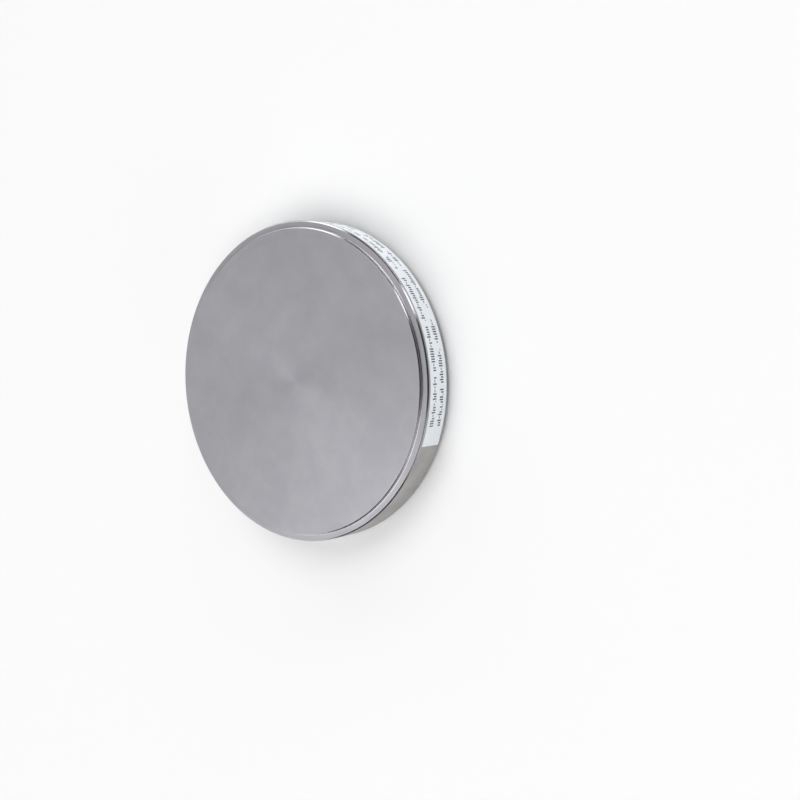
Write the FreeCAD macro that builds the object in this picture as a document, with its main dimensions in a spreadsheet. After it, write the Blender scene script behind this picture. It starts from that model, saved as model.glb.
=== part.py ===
# Dental milling disc of titanium alloy, turned from round bar, with its paper rim label.
# The disc lies on its back face: +Z is its axis and points out of the front raised face,
# the origin is the centre of the back face, and the label's middle faces -Y.
import FreeCAD
import Part
import math
import os
import Sketcher

doc = FreeCAD.newDocument("milling_disc")

# Driving dimensions, in millimetres
driving_dimensions = [
    ("rim_diameter", 98.0, "outer diameter that the holder closes round"),
    ("disc_height", 12.0, "from raised face to raised face"),
    ("step_height", 1.0, "height of each raised face above its clamping ledge"),
    ("raised_diameter", 93.8, "diameter of the step wall"),
    ("raised_edge_chamfer", 0.3, "turned off the edge of each raised face"),
    ("step_root_radius", 0.2, "left by the tool nose where the wall meets the ledge"),
    ("rim_edge_chamfer", 0.4, "turned off both edges of the rim"),
    ("label_length", 120.0, "measured round the rim"),
    ("label_width", 8.0, "measured along the axis"),
    ("label_thickness", 0.1, "paper and adhesive"),
]
sheet = doc.addObject("Spreadsheet::Sheet", "sizes")
for row, (alias, value, meaning) in enumerate(driving_dimensions, start=1):
    sheet.set(f"A{row}", meaning)
    sheet.set(f"B{row}", str(value))
    sheet.setAlias(f"B{row}", alias)
doc.recompute()


def origin_plane(body, role):
    return next(plane for plane in body.Origin.OriginFeatures if plane.Role == role)


def new_sketch(body, name, role):
    sketch = body.newObject("Sketcher::SketchObject", name)
    sketch.AttachmentSupport = [(origin_plane(body, role), "")]
    sketch.MapMode = "FlatFace"
    return sketch


def bind_size(sketch, kind, name, as_drawn, expression, *geometry):
    # The size starts as it is drawn, so that nothing flips over, and then follows the sheet
    index = sketch.addConstraint(Sketcher.Constraint(kind, *geometry, as_drawn))
    sketch.renameConstraint(index, name)
    sketch.setExpression(f"Constraints.{name}", expression)


def circular_edges(shape, radius, height, tolerance=1e-4):
    # Names of the full circles about the disc's axis with this radius, at this height
    names = []
    for number, edge in enumerate(shape.Edges, start=1):
        curve = edge.Curve
        if not isinstance(curve, Part.Circle):
            continue
        same_radius = abs(curve.Radius - radius) < tolerance
        same_height = abs(curve.Center.z - height) < tolerance
        if same_radius and same_height:
            names.append(f"Edge{number}")
    return names


def add_turned_disc():
    body = doc.addObject("PartDesign::Body", "milling_disc")
    body.Label = "milling_disc"

    # Half section of the blank: back raised face, back ledge, rim, front ledge, front raised face
    section = new_sketch(body, "disc_section", "XZ_Plane")
    rim_radius = sheet.rim_diameter / 2
    raised_radius = sheet.raised_diameter / 2
    front_ledge = sheet.disc_height - sheet.step_height
    corners = [
        (0, 0),
        (raised_radius, 0),
        (raised_radius, sheet.step_height),
        (rim_radius, sheet.step_height),
        (rim_radius, front_ledge),
        (raised_radius, front_ledge),
        (raised_radius, sheet.disc_height),
        (0, sheet.disc_height),
    ]
    points = [FreeCAD.Vector(across, along, 0) for across, along in corners]
    lines = range(len(points))
    back_face, back_wall, back_ledge, rim, front_ledge_line, front_wall, front_face, axis = lines
    for start, end in zip(points, points[1:] + points[:1]):
        section.addGeometry(Part.LineSegment(start, end), False)
    for line in lines:
        following = (line + 1) % len(points)
        section.addConstraint(Sketcher.Constraint("Coincident", line, 2, following, 1))
    for line in (back_face, back_ledge, front_ledge_line, front_face):
        section.addConstraint(Sketcher.Constraint("Horizontal", line))
    for line in (back_wall, rim, front_wall, axis):
        section.addConstraint(Sketcher.Constraint("Vertical", line))
    section.addConstraint(Sketcher.Constraint("Coincident", back_face, 1, -1, 1))
    section.addConstraint(Sketcher.Constraint("Equal", back_wall, front_wall))
    section.addConstraint(Sketcher.Constraint("Equal", back_face, front_face))
    bind_size(
        section, "Distance", "raised_radius", raised_radius, "sizes.raised_diameter / 2", back_face
    )
    bind_size(
        section, "DistanceX", "rim_radius", rim_radius, "sizes.rim_diameter / 2", -1, 1, rim, 1
    )
    bind_size(section, "Distance", "step_height", sheet.step_height, "sizes.step_height", back_wall)
    bind_size(section, "Distance", "disc_height", sheet.disc_height, "sizes.disc_height", axis)

    turned = body.newObject("PartDesign::Revolution", "turned_blank")
    turned.Profile = section
    turned.ReferenceAxis = (section, ["V_Axis"])
    turned.Angle = 360
    doc.recompute()

    # The tool nose leaves a small concave radius at the foot of each step wall
    roots = body.newObject("PartDesign::Fillet", "step_roots")
    root_edges = circular_edges(turned.Shape, raised_radius, sheet.step_height)
    root_edges += circular_edges(turned.Shape, raised_radius, front_ledge)
    roots.Base = (turned, root_edges)
    roots.setExpression("Radius", "sizes.step_root_radius")
    doc.recompute()

    # Polished 45 degree chamfers, first on the raised faces and then on the rim
    raised_edges = body.newObject("PartDesign::Chamfer", "raised_edges")
    face_edges = circular_edges(roots.Shape, raised_radius, 0)
    face_edges += circular_edges(roots.Shape, raised_radius, sheet.disc_height)
    raised_edges.Base = (roots, face_edges)
    raised_edges.setExpression("Size", "sizes.raised_edge_chamfer")
    doc.recompute()

    rim_edges = body.newObject("PartDesign::Chamfer", "rim_edges")
    ledge_edges = circular_edges(raised_edges.Shape, rim_radius, sheet.step_height)
    ledge_edges += circular_edges(raised_edges.Shape, rim_radius, front_ledge)
    rim_edges.Base = (raised_edges, ledge_edges)
    rim_edges.setExpression("Size", "sizes.rim_edge_chamfer")
    body.Tip = rim_edges
    doc.recompute()
    return body


def add_rim_label():
    # Self-adhesive paper strip, stuck round part of the rim, halfway up it
    body = doc.addObject("PartDesign::Body", "rim_label")
    body.Label = "rim_label"
    body.setExpression("Placement.Base.z", "sizes.disc_height / 2")

    # The strip seen along the axis: two arcs about the origin and two radial cut ends
    outline = new_sketch(body, "label_outline", "XY_Plane")
    inner_radius = sheet.rim_diameter / 2
    outer_radius = inner_radius + sheet.label_thickness
    half_angle = sheet.label_length / sheet.rim_diameter
    first_end = -math.pi / 2 - half_angle
    last_end = -math.pi / 2 + half_angle
    centre = FreeCAD.Vector(0, 0, 0)
    up = FreeCAD.Vector(0, 0, 1)

    def on_arc(radius, angle):
        return FreeCAD.Vector(radius * math.cos(angle), radius * math.sin(angle), 0)

    inner_arc, outer_arc, first_cut, last_cut = range(4)
    for radius in (inner_radius, outer_radius):
        circle = Part.Circle(centre, up, radius)
        outline.addGeometry(Part.ArcOfCircle(circle, first_end, last_end), False)
    for angle in (first_end, last_end):
        cut = Part.LineSegment(on_arc(inner_radius, angle), on_arc(outer_radius, angle))
        outline.addGeometry(cut, False)
    for arc in (inner_arc, outer_arc):
        outline.addConstraint(Sketcher.Constraint("Coincident", arc, 3, -1, 1))
    arc_start, arc_end = 1, 2
    for cut, arc_point in ((first_cut, arc_start), (last_cut, arc_end)):
        outline.addConstraint(Sketcher.Constraint("Coincident", cut, 1, inner_arc, arc_point))
        outline.addConstraint(Sketcher.Constraint("Coincident", cut, 2, outer_arc, arc_point))
        outline.addConstraint(Sketcher.Constraint("PointOnObject", -1, 1, cut))
    outline.addConstraint(
        Sketcher.Constraint("Symmetric", inner_arc, arc_start, inner_arc, arc_end, -2)
    )
    bind_size(
        outline, "Radius", "inner_radius", inner_radius, "sizes.rim_diameter / 2", inner_arc
    )
    bind_size(
        outline, "Radius", "outer_radius", outer_radius,
        "sizes.rim_diameter / 2 + sizes.label_thickness", outer_arc,
    )
    bind_size(
        outline, "Angle", "wrap_angle", 2 * half_angle,
        "sizes.label_length / (sizes.rim_diameter / 2) * 180 / pi * 1 deg", inner_arc,
    )

    strip = body.newObject("PartDesign::Pad", "paper_strip")
    strip.Profile = outline
    strip.Midplane = True
    strip.setExpression("Length", "sizes.label_width")
    body.Tip = strip
    doc.recompute()
    return body


bodies = [add_turned_disc(), add_rim_label()]
doc.recompute()

# Nothing is written unless every object was computed and every piece is one valid solid
for item in doc.Objects:
    if "Invalid" in item.State or "Error" in item.State:
        raise RuntimeError(f"{item.Label} was not computed: {item.State}")
for body in bodies:
    if body.Shape.isNull() or not body.Shape.isValid() or len(body.Shape.Solids) != 1:
        raise RuntimeError(f"{body.Label} is not one valid solid")

os.makedirs("parts", exist_ok=True)
for body in bodies:
    body.Shape.exportStep(f"parts/{body.Label}.step")
    box = body.Shape.BoundBox
    print(
        f"{body.Label}: {body.Shape.Volume:.2f} mm3, "
        f"{box.XLength:.2f} x {box.YLength:.2f} x {box.ZLength:.2f} mm"
    )
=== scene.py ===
# A dental milling disc of titanium, lying on a white table, with the label stuck round its rim.
import math
import random

import bpy
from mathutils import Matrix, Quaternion, Vector


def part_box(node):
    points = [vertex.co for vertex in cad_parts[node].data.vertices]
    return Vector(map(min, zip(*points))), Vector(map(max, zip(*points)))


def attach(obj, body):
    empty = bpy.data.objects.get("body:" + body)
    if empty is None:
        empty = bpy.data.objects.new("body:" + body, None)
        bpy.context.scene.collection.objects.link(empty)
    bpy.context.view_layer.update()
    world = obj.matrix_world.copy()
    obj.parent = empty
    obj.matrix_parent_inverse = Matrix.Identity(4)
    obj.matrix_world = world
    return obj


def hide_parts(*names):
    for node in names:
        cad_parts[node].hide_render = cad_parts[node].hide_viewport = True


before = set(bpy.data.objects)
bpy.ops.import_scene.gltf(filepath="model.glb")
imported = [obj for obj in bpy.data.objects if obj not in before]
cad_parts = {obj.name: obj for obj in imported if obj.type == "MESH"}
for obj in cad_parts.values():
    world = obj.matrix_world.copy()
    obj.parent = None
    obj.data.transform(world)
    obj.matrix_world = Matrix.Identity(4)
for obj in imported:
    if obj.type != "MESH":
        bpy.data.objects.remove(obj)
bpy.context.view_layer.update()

# Milling disc.
# One piece of grade 5 titanium alloy, turned from round bar on a lathe. Each side has a raised
# face, a ledge that the holder clamps, and 45 degree chamfers cut with a polished tool.
MM = 0.001
disc_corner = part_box("milling_disc")[1]
rim_radius = disc_corner.x
disc_height = disc_corner.z
step_height = 1.0 * MM
wall_radius = 46.9 * MM
raised_chamfer = 0.3 * MM
root_radius = 0.2 * MM
rim_chamfer = 0.4 * MM
edge_break = 0.04 * MM
turned_segments = 720
root_segments = 6


def linear(hex_colour):
    # sRGB hex to the linear colour that a shader takes
    channels = [int(hex_colour[start:start + 2], 16) / 255 for start in (1, 3, 5)]
    curve = [c / 12.92 if c <= 0.04045 else ((c + 0.055) / 1.055) ** 2.4 for c in channels]
    return (*curve, 1.0)


def new_material(name):
    material = bpy.data.materials.new(name)
    material.use_nodes = True
    material.node_tree.nodes.clear()
    return material


def add_node(owner, kind, values=None, links=None, **settings):
    # Adds one node to a material or a world, with its settings, the values of its sockets and the
    # links into them. A socket goes by its name, or by its number where two share a name.
    node = owner.node_tree.nodes.new(kind)
    for name, setting in settings.items():
        setattr(node, name, setting)
    for socket, value in (values or {}).items():
        node.inputs[socket].default_value = value
    for socket, source in (links or {}).items():
        owner.node_tree.links.new(source, node.inputs[socket])
    return node


# Band numbers are also the numbers of the disc's material slots
FACE, CHAMFER, RIM = range(3)


def front_half_profile():
    # From the centre of the front face out to the edge of the rim: (radius, height, band after it)
    ledge = disc_height - step_height
    points = [
        (0.0, disc_height, FACE),
        (wall_radius - raised_chamfer, disc_height, CHAMFER),
        (wall_radius, disc_height - raised_chamfer, CHAMFER),
    ]
    for step in range(root_segments + 1):
        turn = math.pi / 2 * step / root_segments
        across = wall_radius + root_radius * (1 - math.cos(turn))
        height = ledge + root_radius * (1 - math.sin(turn))
        points.append((across, height, CHAMFER if step < root_segments else FACE))
    points.append((rim_radius - rim_chamfer, ledge, CHAMFER))
    points.append((rim_radius, ledge - rim_chamfer, RIM))
    return points


def turned_mesh(name):
    # The profile and its mirror for the back, turned round the axis, with one point at each centre
    front = front_half_profile()
    front_rings = [(across, height) for across, height, band in front]
    back_rings = [(across, disc_height - height) for across, height in reversed(front_rings)]
    rings = front_rings + back_rings
    bands = [band for across, height, band in front]
    bands += reversed(bands[:-1])
    vertices = [(0.0, 0.0, disc_height)]
    for across, height in rings[1:-1]:
        for step in range(turned_segments):
            angle = 2 * math.pi * step / turned_segments
            vertices.append((across * math.cos(angle), across * math.sin(angle), height))
    vertices.append((0.0, 0.0, 0.0))
    last = len(vertices) - 1
    faces, face_bands = [], []
    for ring, band in enumerate(bands):
        for step in range(turned_segments):
            following = (step + 1) % turned_segments
            inner = 1 + (ring - 1) * turned_segments
            outer = 1 + ring * turned_segments
            if ring == 0:
                face = (0, outer + step, outer + following)
            elif ring == len(bands) - 1:
                face = (inner + step, last, inner + following)
            else:
                face = (inner + step, outer + step, outer + following, inner + following)
            faces.append(face)
            face_bands.append(band)
    mesh = bpy.data.meshes.new(name)
    mesh.from_pydata(vertices, [], faces)
    mesh.polygons.foreach_set("material_index", face_bands)
    mesh.polygons.foreach_set("use_smooth", [True] * len(faces))
    mesh.update()
    return mesh


disc = bpy.data.objects.new("turned_disc", turned_mesh("turned_disc"))
bpy.context.scene.collection.objects.link(disc)
broken_edges = disc.modifiers.new("broken_edges", "BEVEL")
broken_edges.width = edge_break
broken_edges.segments = 2
broken_edges.limit_method = "ANGLE"
broken_edges.angle_limit = math.radians(30)
broken_edges.harden_normals = True

# Handling leaves the clean metal very slightly cloudy, in patches about 9 mm across
cloud_size = 9.0 * MM
# The tool's marks are smoother and rougher than the rest by this share
roughness_swing = 0.06
# A colour mix has its two colours and its result at these sockets
FIRST_COLOUR, SECOND_COLOUR, MIXED_COLOUR = 6, 7, 2


def turned_titanium(name, colours, roughness, anisotropy, across_the_cut, mark_pitch, mark_depth):
    # The tool leaves marks that follow the cut: rings on a face, hoops round the rim
    material = new_material(name)
    place = add_node(material, "ShaderNodeTexCoord").outputs["Object"]
    crosswise = add_node(
        material, "ShaderNodeVectorMath", values={1: across_the_cut}, links={0: place},
        operation="MULTIPLY",
    )
    reach = add_node(
        material, "ShaderNodeVectorMath", links={0: crosswise.outputs["Vector"]}, operation="LENGTH"
    )
    marks = add_node(
        material, "ShaderNodeTexNoise",
        values={"Scale": 1 / mark_pitch, "Detail": 3.0, "Roughness": 0.55},
        links={"W": reach.outputs["Value"]}, noise_dimensions="1D",
    ).outputs["Fac"]
    marked_surface = add_node(
        material, "ShaderNodeBump", values={"Strength": 1.0, "Distance": mark_depth},
        links={"Height": marks},
    )
    mark_roughness = add_node(
        material, "ShaderNodeMapRange",
        values={
            "From Min": 0.3, "From Max": 0.7,
            "To Min": (1 - roughness_swing) * roughness, "To Max": (1 + roughness_swing) * roughness,
        },
        links={"Value": marks},
    )
    clouds = add_node(
        material, "ShaderNodeTexNoise",
        values={"Scale": 1 / cloud_size, "Detail": 3.0, "Roughness": 0.6}, links={"Vector": place},
    )
    cloudiness = add_node(
        material, "ShaderNodeMapRange", values={"From Min": 0.35, "From Max": 0.65},
        links={"Value": clouds.outputs["Fac"]},
    )
    colour = add_node(
        material, "ShaderNodeMix",
        values={FIRST_COLOUR: linear(colours[0]), SECOND_COLOUR: linear(colours[1])},
        links={0: cloudiness.outputs["Result"]}, data_type="RGBA",
    )
    # Light spreads across the marks, so the tangent, which follows them, gets a quarter turn
    along_the_cut = add_node(material, "ShaderNodeTangent", direction_type="RADIAL", axis="Z")
    metal = add_node(
        material, "ShaderNodeBsdfPrincipled",
        values={"Metallic": 1.0, "Anisotropic": anisotropy, "Anisotropic Rotation": 0.25},
        links={
            "Base Color": colour.outputs[MIXED_COLOUR], "Roughness": mark_roughness.outputs["Result"],
            "Normal": marked_surface.outputs["Normal"], "Tangent": along_the_cut.outputs["Tangent"],
        },
    )
    add_node(
        material, "ShaderNodeOutputMaterial", links={"Surface": metal.outputs["BSDF"]}
    )
    return material


along_radius = (1, 1, 0)
along_axis = (0, 0, 1)
# Faced on the lathe: the rings are too fine to show, so they are drawn ten times as coarse. They
# spread light a little more along the radius than round it, so the face is nearly even, with
# faint broad fans of light.
ring_pitch = 0.08 * MM
disc.data.materials.append(turned_titanium(
    "faced_titanium", colours=("#b4b3b9", "#bababf"), roughness=0.46, anisotropy=0.34,
    across_the_cut=along_radius, mark_pitch=10 * ring_pitch, mark_depth=0.003 * MM,
))
# Chamfers are cut with a polished tool, so they mirror the room in thin bright and dark lines.
# Its marks hardly show, and are drawn ten times as coarse.
polished_pitch = 0.03 * MM
disc.data.materials.append(turned_titanium(
    "polished_titanium", colours=("#b8b6ba", "#bab8bc"), roughness=0.16, anisotropy=0.0,
    across_the_cut=along_radius, mark_pitch=10 * polished_pitch, mark_depth=0.0003 * MM,
))
# The rim is left as turned: cloudier, with hoops that are drawn 4 times as coarse. Its colour is
# partly the metal's warm grey and partly painted shade: it is darker than the face, standing in for
# the dim surroundings that the rim mirrors.
hoop_pitch = 0.1 * MM
disc.data.materials.append(turned_titanium(
    "rim_titanium", colours=("#a09e9c", "#b0adab"), roughness=0.42, anisotropy=0.5,
    across_the_cut=along_axis, mark_pitch=4 * hoop_pitch, mark_depth=0.002 * MM,
))
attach(disc, "root")
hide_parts("milling_disc")

# Rim label.
# A self-adhesive strip of coated white paper, printed in near black, that the maker sticks round
# the rim, halfway up it. Its middle faces -Y.
label_low, label_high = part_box("rim_label")
label_outer_radius = -label_low.y
label_length = 120.0 * MM
ink_thickness = 0.005 * MM
paper_radius = label_outer_radius - ink_thickness
label_half_angle = label_length / (2 * rim_radius)
label_steps = 240


def on_rim(radius, angle, height):
    # The angle is measured from -Y, counter-clockwise as seen from above
    return (radius * math.sin(angle), -radius * math.cos(angle), height)


def curved_strip(name, pieces, inner_radius, outer_radius):
    # One closed curved block for each (first angle, last angle, low, high, steps)
    corners = 4
    vertices, faces = [], []
    for first, last, low, high, steps in pieces:
        for step in range(steps + 1):
            angle = first + (last - first) * step / steps
            base = len(vertices)
            vertices += [
                on_rim(inner_radius, angle, low), on_rim(outer_radius, angle, low),
                on_rim(outer_radius, angle, high), on_rim(inner_radius, angle, high),
            ]
            if step == 0:
                faces.append((base + 1, base + 2, base + 3, base))
            else:
                before = base - corners
                for side in range(corners):
                    following = (side + 1) % corners
                    faces.append((before + side, before + following, base + following, base + side))
            if step == steps:
                faces.append((base, base + 3, base + 2, base + 1))
    mesh = bpy.data.meshes.new(name)
    mesh.from_pydata(vertices, [], faces)
    mesh.update()
    strip = bpy.data.objects.new(name, mesh)
    bpy.context.scene.collection.objects.link(strip)
    return strip


label = curved_strip(
    "paper_label",
    [(-label_half_angle, label_half_angle, label_low.z, label_high.z, label_steps)],
    rim_radius, paper_radius,
)
# Coated paper is smooth and very slightly bluish white, with a dull sheen and a faint cloudiness
# from its fibres, drawn about 0.5 mm across
fibre_size = 0.5 * MM
fibre_depth = 0.004 * MM
coated_paper = new_material("coated_paper")
fibres = add_node(
    coated_paper, "ShaderNodeTexNoise", values={"Scale": 1 / fibre_size, "Detail": 3.0},
    links={"Vector": add_node(coated_paper, "ShaderNodeTexCoord").outputs["Object"]},
).outputs["Fac"]
paper_colour = add_node(
    coated_paper, "ShaderNodeMix",
    values={FIRST_COLOUR: linear("#eaf0f5"), SECOND_COLOUR: linear("#f1f6fa")},
    links={0: fibres}, data_type="RGBA",
)
paper_grain = add_node(
    coated_paper, "ShaderNodeBump", values={"Strength": 1.0, "Distance": fibre_depth},
    links={"Height": fibres},
)
paper = add_node(
    coated_paper, "ShaderNodeBsdfPrincipled", values={"Roughness": 0.5},
    links={
        "Base Color": paper_colour.outputs[MIXED_COLOUR], "Normal": paper_grain.outputs["Normal"],
    },
)
add_node(coated_paper, "ShaderNodeOutputMaterial", links={"Surface": paper.outputs["BSDF"]})
label.data.materials.append(coated_paper)
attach(label, "root")
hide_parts("rim_label")

# Two printed rows of plain bars, dashes and dots, grouped as words are. Each mark is
# (width, lowest, highest): its width in mm, and its place in the height of the row.
row_height = 1.75 * MM
print_marks = {
    "bar": (0.38, 0.0, 1.0),
    "short_bar": (0.38, 0.0, 0.7),
    "dash": (0.7, 0.38, 0.58),
    "dot": (0.38, 0.0, 0.2),
}
mark_choice = ["bar"] * 3 + ["short_bar"] * 3 + ["dash", "dot"]
fewest_marks, most_marks = 8, 19
mark_steps = 1
mark_gap = 0.34 * MM
word_gap = 1.4 * MM
wide_gap = 3.4 * MM
words_before_wide_gap = 3
print_margin = 6.0 * MM
lower_row = label_low.z + 1.55 * MM
upper_row = label_low.z + 5.05 * MM
print_seed = 12
printer = random.Random(print_seed)


def printed_row(row_start):
    marks = []
    along = print_margin
    word = 0
    while along < label_length - print_margin:
        for mark in range(printer.randint(fewest_marks, most_marks)):
            width, lowest, highest = print_marks[printer.choice(mark_choice)]
            first = along / rim_radius - label_half_angle
            last = (along + width * MM) / rim_radius - label_half_angle
            low, high = row_start + lowest * row_height, row_start + highest * row_height
            marks.append((first, last, low, high, mark_steps))
            along += width * MM + mark_gap
        word += 1
        along += wide_gap if word % words_before_wide_gap == 0 else word_gap
    # A word that would run past the end of the row is cut short
    row_end = label_half_angle - print_margin / rim_radius
    return [(first, last, *rest) for first, last, *rest in marks if last < row_end]


rows = [mark for row_start in (lower_row, upper_row) for mark in printed_row(row_start)]
label_print = curved_strip("label_print", rows, paper_radius, label_outer_radius)
# Thermal transfer ink: near black, with a slight sheen
printed_ink = new_material("printed_ink")
ink = add_node(
    printed_ink, "ShaderNodeBsdfPrincipled",
    values={"Base Color": linear("#2b2d30"), "Roughness": 0.4},
)
add_node(printed_ink, "ShaderNodeOutputMaterial", links={"Surface": ink.outputs["BSDF"]})
label_print.data.materials.append(printed_ink)
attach(label_print, "root")

# Table.
# A plain white table top under the disc, of dull laminate. Its edges are 3 m away, far outside
# what the camera sees.
floor_mesh = bpy.data.meshes.new("table_top")
edge = 3.0
floor_mesh.from_pydata(
    [(-edge, -edge, 0), (edge, -edge, 0), (edge, edge, 0), (-edge, edge, 0)], [], [(0, 1, 2, 3)]
)
floor = bpy.data.objects.new("table_top", floor_mesh)
bpy.context.scene.collection.objects.link(floor)
white_laminate = new_material("white_laminate")
surface = add_node(
    white_laminate, "ShaderNodeBsdfPrincipled",
    values={"Base Color": linear("#f5f5f5"), "Roughness": 0.6},
)
add_node(white_laminate, "ShaderNodeOutputMaterial", links={"Surface": surface.outputs["BSDF"]})
floor.data.materials.append(white_laminate)

# Studio light.
# A dim room with soft round lamps far away all round: two keys at the sides, fills beyond the disc
# for its face, lamps low near the table that draw bright lines on the turned edges, and dark gaps.
# Each lamp is (azimuth from +X, elevation, radius, soft edge, brightness), with the angles in
# degrees. The notes say what each one does in the picture, where the disc seems to stand.
soft_lamps = [
    (-45, 50, 22, 3, 2.5),  # key: bright step wall at the upper right
    (145, 57, 25, 6, 2.2),  # second key: step wall at the lower right
    (50, 50, 25, 15, 0.42),  # broad soft fill opposite the camera, for an even face
    (95, 40, 25, 10, 1.5),  # fill for the lower half of the face
    (45, 15, 12, 6, 0.9),  # low fill for the left and right of the face
    (0, 80, 15, 10, 0.3),  # overhead: the table
    (-15, 5, 20, 4, 2.6),  # low: bright chamfer near the top
    (-70, -4, 20, 3, 5.4),  # at table height: the label, and the foot of the step wall
    (-89, 30, 8, 3, 2.3),  # small: the short spark on the chamfer at the right
    (180, 30, 18, 4, 0.35),  # faint: grey chamfer at the lower right
    (-175, 0, 18, 4, 3.2),  # at table height: rim and label at the lower right
]
room_brightness = 0.07
studio = bpy.data.worlds.new("studio")
studio.use_nodes = True
studio.node_tree.nodes.clear()
bpy.context.scene.world = studio
outward = add_node(studio, "ShaderNodeTexCoord").outputs["Generated"]
brightness = add_node(studio, "ShaderNodeValue").outputs["Value"]
brightness.default_value = room_brightness
for azimuth, elevation, radius, soft_edge, strength in soft_lamps:
    turn, tilt = math.radians(azimuth), math.radians(elevation)
    middle = (math.cos(tilt) * math.cos(turn), math.cos(tilt) * math.sin(turn), math.sin(tilt))
    cosine = add_node(
        studio, "ShaderNodeVectorMath", values={1: middle}, links={0: outward}, operation="DOT_PRODUCT"
    )
    off_middle = add_node(
        studio, "ShaderNodeMath", links={0: cosine.outputs["Value"]}, operation="ARCCOSINE"
    )
    lamp = add_node(
        studio, "ShaderNodeMapRange",
        values={
            "From Min": math.radians(radius + soft_edge), "From Max": math.radians(radius - soft_edge),
            "To Min": 0.0, "To Max": strength,
        },
        links={"Value": off_middle.outputs["Value"]}, interpolation_type="SMOOTHSTEP",
    )
    brightness = add_node(
        studio, "ShaderNodeMath", links={0: brightness, 1: lamp.outputs["Result"]}, operation="ADD"
    ).outputs["Value"]
lamplight = add_node(
    studio, "ShaderNodeBackground", values={"Color": linear("#ffffff")}, links={"Strength": brightness}
)
# The camera itself sees a plain white backdrop behind the table
backdrop = add_node(studio, "ShaderNodeBackground", values={"Color": linear("#ffffff")})
ray = add_node(studio, "ShaderNodeLightPath")
seen = add_node(
    studio, "ShaderNodeMixShader",
    links={
        "Fac": ray.outputs["Is Camera Ray"],
        1: lamplight.outputs["Background"], 2: backdrop.outputs["Background"],
    },
)
add_node(studio, "ShaderNodeOutputWorld", links={"Surface": seen.outputs["Shader"]})
bpy.context.scene.view_settings.view_transform = "Standard"

# Camera.
# It looks down on the disc from in front and to the left, turned so that the disc seems to stand.
camera_data = bpy.data.cameras.new("camera")
camera_data.sensor_width = 36.0
camera_data.lens = 51.6
camera_data.clip_start = 0.01
camera = bpy.data.objects.new("camera", camera_data)
bpy.context.scene.collection.objects.link(camera)
camera_place = Vector((-163.6, -164.8, 275.9)) * MM
camera_aim = Vector((-32.85, -22.83, 12.0)) * MM
camera_roll = math.radians(-95.89)
camera.location = camera_place
camera.rotation_mode = "QUATERNION"
upright = (camera_aim - camera_place).to_track_quat("-Z", "Y")
camera.rotation_quaternion = upright @ Quaternion((0, 0, 1), camera_roll)
bpy.context.scene.camera = camera
